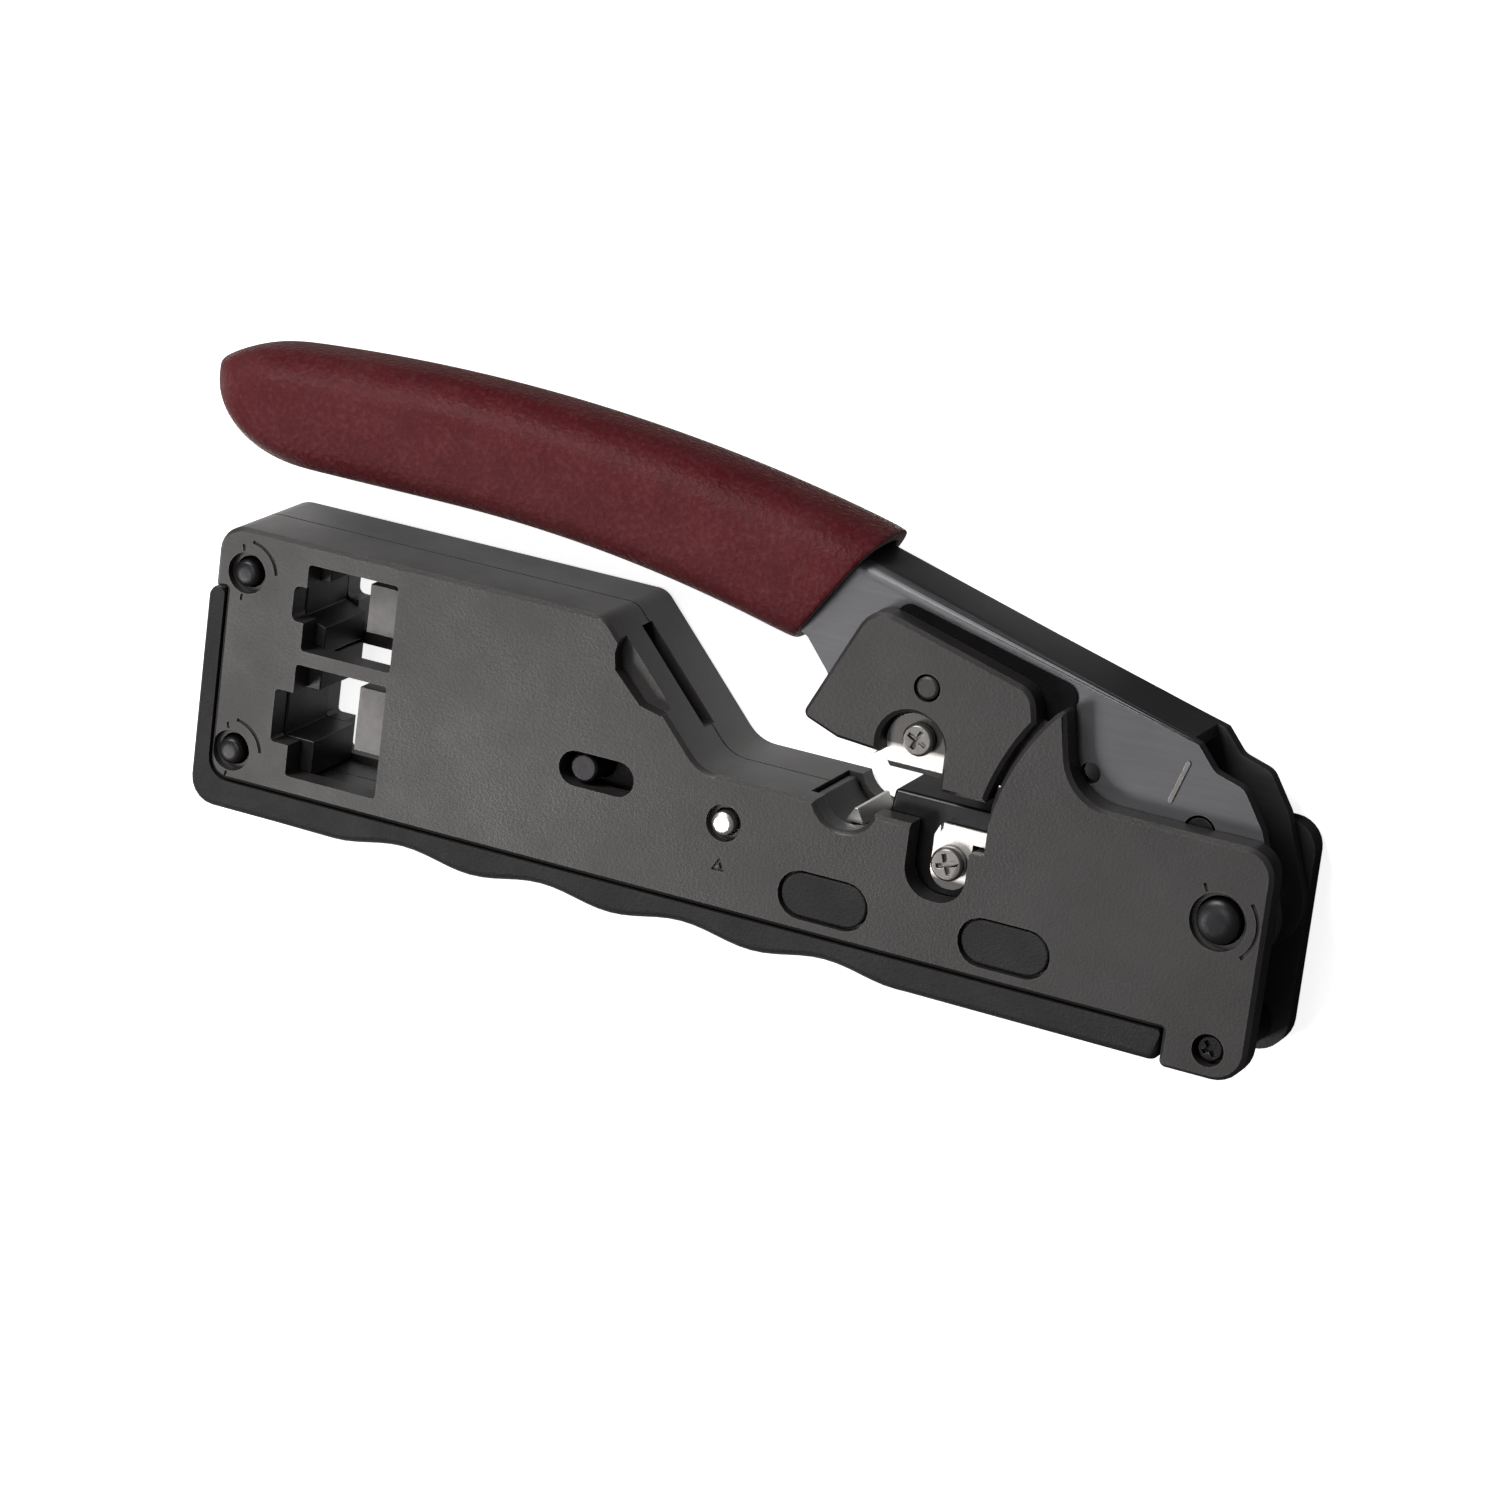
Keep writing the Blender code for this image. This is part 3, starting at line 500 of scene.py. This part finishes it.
def vinyl_material(settings):
    """Burgundy dipped vinyl: matte, with a dusty bloom and fine speckle."""
    mat, tree, shader = new_material(
        "burgundy_vinyl", 0.0, 0.5, Specular_IOR_Level=0.12, Sheen_Weight=0.8, Sheen_Roughness=0.22,
        Sheen_Tint=(0.86, 0.86, 0.80, 1.0))
    grain = place_group(tree, group_named("Skin grain"), Grain_Scale=1500.0, Mottle_Scale=190.0)
    hands = place_group(tree, group_named("Handling"), Patch_Scale=70.0)
    base = mixed(tree, grain.outputs["Mottle"], scaled_colour(settings.vinyl, 0.88),
                 scaled_colour(settings.vinyl, 1.16))
    pitted = mixed(tree, combine(tree, "MULTIPLY", grain.outputs["Hollows"], 0.55), base,
                   scaled_colour(settings.vinyl, 0.5))
    pale = tuple(c + 0.03 for c in settings.vinyl) + (1.0,)
    bloom = mixed(tree, combine(tree, "MULTIPLY", hands.outputs["Patches"], 0.25), pitted, pale)
    dusty = tuple(c + 0.055 for c in settings.vinyl) + (1.0,)
    speckled = mixed(tree, ranged(tree, grain.outputs["Height"], 0.64, 0.88, 0.0, 0.34), bloom, dusty)
    tree.links.new(speckled, shader.inputs["Base Color"])
    tree.links.new(ranged(tree, hands.outputs["Patches"], 0.0, 1.0, 0.44, 0.58), shader.inputs["Roughness"])
    bump(tree, shader, grain.outputs["Height"], 0.6, 0.0003)
    return mat


def moulding_material(settings):
    """Black moulded rubber with a matte, sandy skin."""
    mat, tree, shader = new_material("black_moulding", 0.0, 0.6, Specular_IOR_Level=0.4)
    grain = place_group(tree, group_named("Skin grain"), Grain_Scale=3200.0, Mottle_Scale=140.0)
    edges = place_group(tree, group_named("Edge wear and highlight"), Reach=0.0005)
    base = mixed(tree, grain.outputs["Hollows"], scaled_colour(settings.moulding, 1.15),
                 scaled_colour(settings.moulding, 0.6))
    worn = mixed(tree, combine(tree, "MULTIPLY", edges.outputs["Mask"], 0.4), base,
                 scaled_colour(settings.moulding, 2.2))
    tree.links.new(worn, shader.inputs["Base Color"])
    tree.links.new(ranged(tree, grain.outputs["Mottle"], 0.0, 1.0, 0.52, 0.68), shader.inputs["Roughness"])
    bump(tree, shader, grain.outputs["Height"], 0.5, 0.0002)
    return mat


def painted_shadow_material(colour):
    """Near-black with a fine grain, for the strip behind the jaw cover that is a painted shadow of the
    cover.
    """
    mat, tree, shader = new_material("painted_shadow_black", 0.0, 0.85, Specular_IOR_Level=0.1)
    grain = place_group(tree, group_named("Skin grain"), Grain_Scale=2800.0, Mottle_Scale=300.0)
    painted_shadow_tone = mixed(tree, grain.outputs["Mottle"], scaled_colour(colour, 0.7), scaled_colour(colour, 1.5))
    tree.links.new(painted_shadow_tone, shader.inputs["Base Color"])
    tree.links.new(ranged(tree, grain.outputs["Hollows"], 0.0, 1.0, 0.8, 0.95), shader.inputs["Roughness"])
    bump(tree, shader, grain.outputs["Height"], 0.5, 0.0002)
    return mat


def steel_material(name, colour, roughness, stretch, streak=0.12, metallic=1.0, lines=0.12):
    """Steel with ground or rolled lines, scuffed lighter on its edges."""
    mat, tree, shader = new_material(name, metallic, roughness)
    ground = place_group(tree, group_named("Ground lines"), Stretch=stretch)
    edges = place_group(tree, group_named("Edge wear and highlight"), Reach=0.0003)
    hands = place_group(tree, group_named("Handling"), Patch_Scale=60.0)
    base = mixed(tree, ground.outputs["Streaks"], scaled_colour(colour, 1.0 - streak),
                 scaled_colour(colour, 1.0 + streak))
    bare = tuple(min(0.75, c * 1.6 + 0.08) for c in colour) + (1.0,)
    scuffed = mixed(tree, combine(tree, "MULTIPLY", edges.outputs["Mask"], 0.45), base, bare)
    tree.links.new(scuffed, shader.inputs["Base Color"])
    tree.links.new(ranged(tree, hands.outputs["Patches"], 0.0, 1.0, roughness - 0.05, roughness + 0.06),
                   shader.inputs["Roughness"])
    bump(tree, shader, ground.outputs["Height"], lines, 0.00008)
    return mat


def blade_material(name, settings, edge, way):
    """A blade: ground bright beside its cutting edge, and painted dark further from it as painted shade, of
    the jaw cover on the upper blade and of the pocket on the lower one.
    """
    mat, tree, shader = new_material(name, 1.0, 0.25)
    ground = place_group(tree, group_named("Ground lines"), Stretch=(2200.0, 90.0, 2200.0))
    split = tree.nodes.new("ShaderNodeSeparateXYZ")
    tree.links.new(tree.nodes.new("ShaderNodeTexCoord").outputs["Object"], split.inputs[0])
    away = combine(tree, "MULTIPLY", combine(tree, "SUBTRACT", split.outputs["Y"], edge), float(way))
    reach = BRIGHT_REACH[way] * MM
    # Painted shade: the blade turns dark beyond the bright grind, where the jaw cover and the pocket shade
    # it
    black = ranged(tree, away, reach, reach + 0.0006, 0.0, 1.0)
    steel = mixed(tree, ground.outputs["Streaks"], scaled_colour(settings.bright, 0.9),
                  scaled_colour(settings.bright, 1.08))
    colour = mixed(tree, black, steel, scaled_colour(settings.screw, 0.45))
    tree.links.new(colour, shader.inputs["Base Color"])
    tree.links.new(ranged(tree, ground.outputs["Streaks"], 0.0, 1.0, 0.36, 0.44), shader.inputs["Roughness"])
    bump(tree, shader, ground.outputs["Height"], 0.1, 0.00006)
    return mat


def get_material(name, maker):
    """The finish with that name, made the first time it is asked for."""
    return bpy.data.materials.get(name) or maker()


# ---- operators: pieces -------------------------------------------------------------------------
class CRIMPER_OT_shells(Operator):
    """Eases the two shells and the jaw covers and paints them"""

    bl_idname = "crimper.shells"
    bl_label = "Shells and jaw covers"

    def execute(self, context):
        settings = context.scene.crimper_shell
        paint = get_material("satin_paint", lambda: paint_material(settings))
        for node, ease in SHELLS.items():
            eased_copy(node, ease, settings.ease_steps, paint)
        return {"FINISHED"}


class CRIMPER_OT_mouldings(Operator):
    """Eases the lower grip and the oval inlays and gives them their rubber"""

    bl_idname = "crimper.mouldings"
    bl_label = "Lower grip and inlays"

    def execute(self, context):
        rubber = get_material("black_moulding", lambda: moulding_material(context.scene.crimper_grip))
        for node, ease in MOULDINGS.items():
            eased_copy(node, ease, EASE_STEPS, rubber)
        return {"FINISHED"}


class CRIMPER_OT_steel(Operator):
    """Eases the lever, dies, blades, screws and pins and gives them their steels"""

    bl_idname = "crimper.steel"
    bl_label = "Steel pieces"

    def execute(self, context):
        s = context.scene.crimper_steel
        long_lines, pin_lines = (90.0, 1500.0, 1500.0), (2400.0, 120.0, 2400.0)
        even = (900.0, 900.0, 900.0)
        gunmetal = steel_material("gunmetal_lever", s.gunmetal, 0.42, long_lines, 0.08, 0.85, 0.04)
        die = steel_material("die_steel_cast", s.die, 0.42, (500.0, 700.0, 500.0), 0.15, 0.8)
        black = steel_material("blackened_pins", s.black, 0.36, even, 0.12, 0.8)
        bright = steel_material("ground_steel", s.bright, 0.36, pin_lines, 0.06, lines=0.03)
        plate = steel_material("grey_plate", s.plate, 0.5, (700.0, 700.0, 700.0), 0.1, 0.6)
        screw = steel_material("screw_steel", s.screw, 0.34, even, 0.05, 0.9, 0.03)
        for nodes, mat in ((LEVER, gunmetal), (DIES, die), (BLACKENED, black), (LOCK, bright),
                           (PRESSERS, plate), (SCREWS, screw)):
            for node, ease in nodes.items():
                eased_copy(node, ease, EASE_STEPS, mat)
        for node, ease in BLADES.items():
            if node in CUTTING_EDGE:
                height, way = CUTTING_EDGE[node]
                mat = blade_material(node + "_steel", s, (height - TOOL_ORIGIN.y) * MM, way)
                eased_copy(node, ease, EASE_STEPS, mat, s.grind_width / MM)
            else:
                eased_copy(node, ease, EASE_STEPS, bright)
        return {"FINISHED"}


def nose(x, side):
    """Share of the full size that the grip has at x, on its back, belly or side."""
    s = min(1.0, max(0.0, (x - TIP[0]) / NOSE_LENGTHS[side]))
    return (1 - (1 - s) ** NOSE_POWER) ** (1 / NOSE_POWER)


def back_height(x):
    arc_y = CREST[1] - BACK_RADIUS + math.sqrt(BACK_RADIUS ** 2 - (x - CREST[0]) ** 2)
    return TIP[1] + (arc_y - TIP[1]) * nose(x, "back")


def belly_height(x):
    run = max(0.0, x - BELLY[0])
    arc_y = BELLY[1] - BELLY_RADIUS + math.sqrt(BELLY_RADIUS ** 2 - run ** 2)
    return TIP[1] + (arc_y - TIP[1]) * nose(x, "belly")


def grip_stations():
    """Sections of the grip from its mouth to its tip: back point, belly point, share of the full width."""
    stations = []
    for k in range(GRIP_STEPS, -1, -1):
        x = TIP[0] + TIP_GAP + (MOUTH_X - TIP[0] - TIP_GAP) * (k / GRIP_STEPS) ** GRIP_CROWDING
        lean = MOUTH_LEAN * (max(0.0, x - LEAN_X) / (MOUTH_X - LEAN_X)) ** 2
        stations.append(((x, back_height(x)), (x - lean, belly_height(x - lean)), nose(x, "side")))
    return stations


def station_pose(station):
    """Centre, lean from upright and height of a grip station, in the frame."""
    top, bottom = (Vector(p) - TOOL_ORIGIN for p in station[:2])
    line = (top - bottom) * MM
    centre = (top + bottom) * 0.5 * MM
    return centre, math.atan2(-line.x, line.y), line.length


class CRIMPER_OT_handle_grip(Operator):
    """Models the handle's grip by extruding a rounded section from its mouth to its tip"""

    bl_idname = "crimper.handle_grip"
    bl_label = "Handle grip"

    def execute(self, context):
        settings = context.scene.crimper_grip
        low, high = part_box("lever_grip")
        level = (low[2] + high[2]) / 2
        deselect()
        bpy.ops.mesh.primitive_plane_add(size=1.0, location=(0.0, 0.0, 0.0),
                                         rotation=(0.0, math.pi / 2, 0.0))
        ob = context.object
        ob.name = "handle_grip"
        bpy.ops.object.transform_apply(location=True, rotation=True, scale=True)
        stations = grip_stations()
        centre, lean, height = station_pose(stations[0])
        bpy.ops.object.mode_set(mode="EDIT")
        bpy.ops.mesh.select_all(action="SELECT")
        bpy.ops.transform.resize(value=(1.0, height, settings.width * stations[0][2]),
                                 center_override=(0.0, 0.0, 0.0))
        bpy.ops.mesh.bevel(offset=GRIP_CORNER * MM, offset_pct=0, affect="VERTICES", segments=4, profile=0.5)
        turn_section(lean, (0.0, 0.0, 0.0))
        bpy.ops.transform.translate(value=(centre.x, centre.y, level))
        old = (centre, lean, height, stations[0][2])
        for station in stations[1:]:
            centre, lean, height = station_pose(station)
            bpy.ops.mesh.extrude_region_move(TRANSFORM_OT_translate={"value": (0.0, 0.0, 0.0)})
            here = (old[0].x, old[0].y, level)
            turn_section(-old[1], here)
            bpy.ops.transform.resize(value=(1.0, height / old[2], station[2] / old[3]), center_override=here)
            turn_section(lean, here)
            bpy.ops.transform.translate(value=(centre.x - old[0].x, centre.y - old[0].y, 0.0))
            old = (centre, lean, height, station[2])
        bpy.ops.mesh.inset(thickness=LIP * MM)
        bpy.ops.object.mode_set(mode="OBJECT")
        open_mouth(ob, settings.wall, settings.socket_depth)
        mod = ob.modifiers.new("Rounding", "SUBSURF")
        mod.levels = 2
        mod.render_levels = 2
        apply_modifiers(ob)
        smooth(ob, 50.0)
        settle(ob, "lever", get_material("burgundy_vinyl", lambda: vinyl_material(settings)))
        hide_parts("lever_grip")
        return {"FINISHED"}


def turn_section(angle, centre):
    """Turns the selected section about the frame's Z axis."""
    bpy.ops.transform.rotate(value=-angle, orient_axis="Z", orient_type="GLOBAL", center_override=centre)


def open_mouth(ob, wall, depth):
    """Insets the first section and pushes it in along the grip, as the hollow that holds the lever."""
    centre, lean, _ = station_pose(grip_stations()[0])
    only(ob)
    bpy.ops.object.mode_set(mode="EDIT")
    bpy.ops.mesh.select_all(action="DESELECT")
    bpy.ops.object.mode_set(mode="OBJECT")
    across = Vector((math.cos(lean), math.sin(lean), 0.0))
    for face in ob.data.polygons:
        offset = (Vector(face.center) - Vector((centre.x, centre.y, face.center.z))).dot(across)
        face.select = abs(offset) < SAME_LEVEL and abs(Vector(face.normal).dot(across)) > 0.99
    bpy.ops.object.mode_set(mode="EDIT")
    bpy.ops.mesh.select_mode(type="FACE")
    for thickness in (LIP * MM, wall - 2 * LIP * MM, LIP * MM):
        bpy.ops.mesh.inset(thickness=thickness)
    along = (station_pose(grip_stations()[2])[0] - centre).normalized() * depth
    for share in (0.05, 0.9, 0.05):
        step = (along.x * share, along.y * share, 0.0)
        bpy.ops.mesh.extrude_region_move(TRANSFORM_OT_translate={"value": step})
    bpy.ops.mesh.inset(thickness=LIP * MM)
    bpy.ops.object.mode_set(mode="OBJECT")


def lever_bar(name, shape, mat):
    """A flat bar that rides on the lever, with rounded corners and eased edges."""
    ends, width, levels, corner = shape
    start, end = (Vector(p) - TOOL_ORIGIN for p in ends)
    run = (end - start) * MM
    centre = (start + end) * 0.5 * MM
    low, high = (h * MM for h in levels)
    deselect()
    bpy.ops.mesh.primitive_cube_add(size=1.0, location=(0.0, 0.0, 0.0))
    ob = bpy.context.object
    ob.name = name
    ob.scale = (run.length, width * MM, high - low)
    ob.rotation_euler = (0.0, 0.0, math.atan2(run.y, run.x))
    ob.location = (centre.x, centre.y, (low + high) / 2)
    bpy.ops.object.transform_apply(location=True, rotation=True, scale=True)
    bpy.ops.object.mode_set(mode="EDIT")
    bpy.ops.mesh.select_mode(type="EDGE")
    bpy.ops.mesh.select_all(action="DESELECT")
    bpy.ops.object.mode_set(mode="OBJECT")
    for edge in ob.data.edges:
        a, b = (ob.data.vertices[i].co for i in edge.vertices)
        edge.select = abs(a.z - b.z) > SAME_LEVEL
    bpy.ops.object.mode_set(mode="EDIT")
    bpy.ops.mesh.bevel(offset=corner * MM, offset_pct=0, affect="EDGES", segments=5)
    bpy.ops.object.mode_set(mode="OBJECT")
    ease_edges(ob, min(BAR_EASE, 0.3 * (levels[1] - levels[0])) * MM, EASE_STEPS)
    smooth(ob)
    settle(ob, "lever", mat)


class CRIMPER_OT_jaw_details(Operator):
    """Models a black strip behind the jaw cover as a painted shadow of the cover, and the bright rib on the
    lever's flange
    """

    bl_idname = "crimper.jaw_details"
    bl_label = "Jaw backing and lever rib"

    def execute(self, context):
        painted_shadow = get_material("painted_shadow_black", lambda: painted_shadow_material(context.scene.crimper_grip.painted_shadow))
        # A dark sheet as painted shadow, where the jaw cover's shadow falls on the lever's flange
        lever_bar("jaw_shadow_strip", JAW_SHADOW_STRIP, painted_shadow)
        lever_bar("lever_rib", LEVER_RIB, bpy.data.materials["screw_steel"])
        return {"FINISHED"}


# ---- operators: stage --------------------------------------------------------------------------
def soft_light(name, power):
    """A square softbox that points at its aim."""
    place, aim, size, colour = SOFTBOXES[name]
    data = bpy.data.lights.new(name, "AREA")
    data.energy = power
    data.color = colour
    data.size = size
    ob = bpy.data.objects.new(name, data)
    bpy.context.scene.collection.objects.link(ob)
    ob.location = place
    ob.rotation_euler = (Vector(aim) - Vector(place)).to_track_quat("-Z", "Y").to_euler()
    return ob


def floor_material(settings):
    """A pale, evenly lit floor as the camera sees it. Shiny pieces and bounce light see a painted reflection
    instead: a glowing patch beside the dies, and a dim floor elsewhere that paints shade into reflections.
    """
    mat, tree, shader = new_material("floor_pale", 0.0, 0.8, Specular_IOR_Level=0.1)
    seen = tree.nodes.new("ShaderNodeLightPath").outputs["Is Camera Ray"]
    split = tree.nodes.new("ShaderNodeSeparateXYZ")
    tree.links.new(tree.nodes.new("ShaderNodeTexCoord").outputs["Object"], split.inputs[0])
    # Painted reflection and shade: reflections see a bright glowing patch beside the dies and a dim floor
    # elsewhere
    painted_reflection_patch = combine(tree, "MULTIPLY", ranged(tree, split.outputs["Y"], 0.034, 0.046, 1.0, 0.0),
                   ranged(tree, split.outputs["X"], 0.0, 0.045, 1.0, 0.0))
    reflected_floor_colour = mixed(tree, painted_reflection_patch, (0.05, 0.05, 0.05, 1.0), (0.6, 0.6, 0.6, 1.0))
    tree.links.new(mixed(tree, seen, reflected_floor_colour, (*settings.floor, 1.0)), shader.inputs["Base Color"])
    shader.inputs["Emission Color"].default_value = (1.0, 1.0, 1.0, 1.0)
    painted_reflection_strength = combine(tree, "MULTIPLY", painted_reflection_patch, settings.painted_reflection_glow)
    glow = ranged(tree, seen, 0.0, 1.0, painted_reflection_strength, settings.floor_glow)
    tree.links.new(glow, shader.inputs["Emission Strength"])
    return mat


class CRIMPER_OT_stage(Operator):
    """Sets the pale floor, the softboxes and the camera"""

    bl_idname = "crimper.stage"
    bl_label = "Stage"

    def execute(self, context):
        s = context.scene.crimper_stage
        deselect()
        bpy.ops.mesh.primitive_plane_add(size=s.floor_size, location=(0.0, 0.0, -FLOOR_DROP))
        floor = context.object
        floor.name = "floor"
        set_material(floor, floor_material(s))
        world = bpy.data.worlds.new("studio")
        context.scene.world = world
        world.use_nodes = True
        background = world.node_tree.nodes["Background"]
        background.inputs["Color"].default_value = (1.0, 1.0, 1.0, 1.0)
        background.inputs["Strength"].default_value = s.sky
        soft_light("softbox_left", s.key_power)
        soft_light("softbox_back", s.back_power)
        soft_light("softbox_over", s.over_power)
        camera = bpy.data.cameras.new("camera")
        camera.lens = s.lens
        camera.sensor_width = 36.0
        camera.clip_start = 0.01
        ob = bpy.data.objects.new("camera", camera)
        context.scene.collection.objects.link(ob)
        turn = Matrix((CAMERA_RIGHT, CAMERA_BACK.cross(CAMERA_RIGHT), CAMERA_BACK)).transposed()
        ob.matrix_world = Matrix.Translation(CAMERA_PLACE) @ turn.to_4x4()
        context.scene.camera = ob
        context.scene.view_settings.view_transform = "Standard"
        context.scene.view_settings.look = "None"
        deselect()
        return {"FINISHED"}


class CRIMPER_PT_panel(Panel):
    """Lists the pieces of the crimping tool in the sidebar"""

    bl_idname = "CRIMPER_PT_panel"
    bl_label = "Crimping tool"
    bl_space_type = "VIEW_3D"
    bl_region_type = "UI"
    bl_category = "Crimping tool"

    def draw(self, context):
        for operator in OPERATORS:
            self.layout.operator(operator.bl_idname)
        for group in SETTINGS:
            settings = getattr(context.scene, group)
            for label in settings.bl_rna.properties.keys():
                if label not in {"rna_type", "name"}:
                    self.layout.prop(settings, label)


OPERATORS = (CRIMPER_OT_shells, CRIMPER_OT_mouldings, CRIMPER_OT_steel, CRIMPER_OT_handle_grip,
             CRIMPER_OT_jaw_details, CRIMPER_OT_stage)
SETTINGS = {"crimper_shell": CrimperShellSettings, "crimper_grip": CrimperGripSettings,
            "crimper_steel": CrimperSteelSettings, "crimper_stage": CrimperStageSettings}


def register():
    for cls in (*SETTINGS.values(), *OPERATORS, CRIMPER_PT_panel):
        bpy.utils.register_class(cls)
    for name, group in SETTINGS.items():
        setattr(bpy.types.Scene, name, PointerProperty(type=group))


def unregister():
    for name in SETTINGS:
        delattr(bpy.types.Scene, name)
    for cls in reversed((*SETTINGS.values(), *OPERATORS, CRIMPER_PT_panel)):
        bpy.utils.unregister_class(cls)


def main():
    register()
    for operator in OPERATORS:
        family, name = operator.bl_idname.split(".")
        getattr(getattr(bpy.ops, family), name)()


if __name__ == "__main__":
    main()
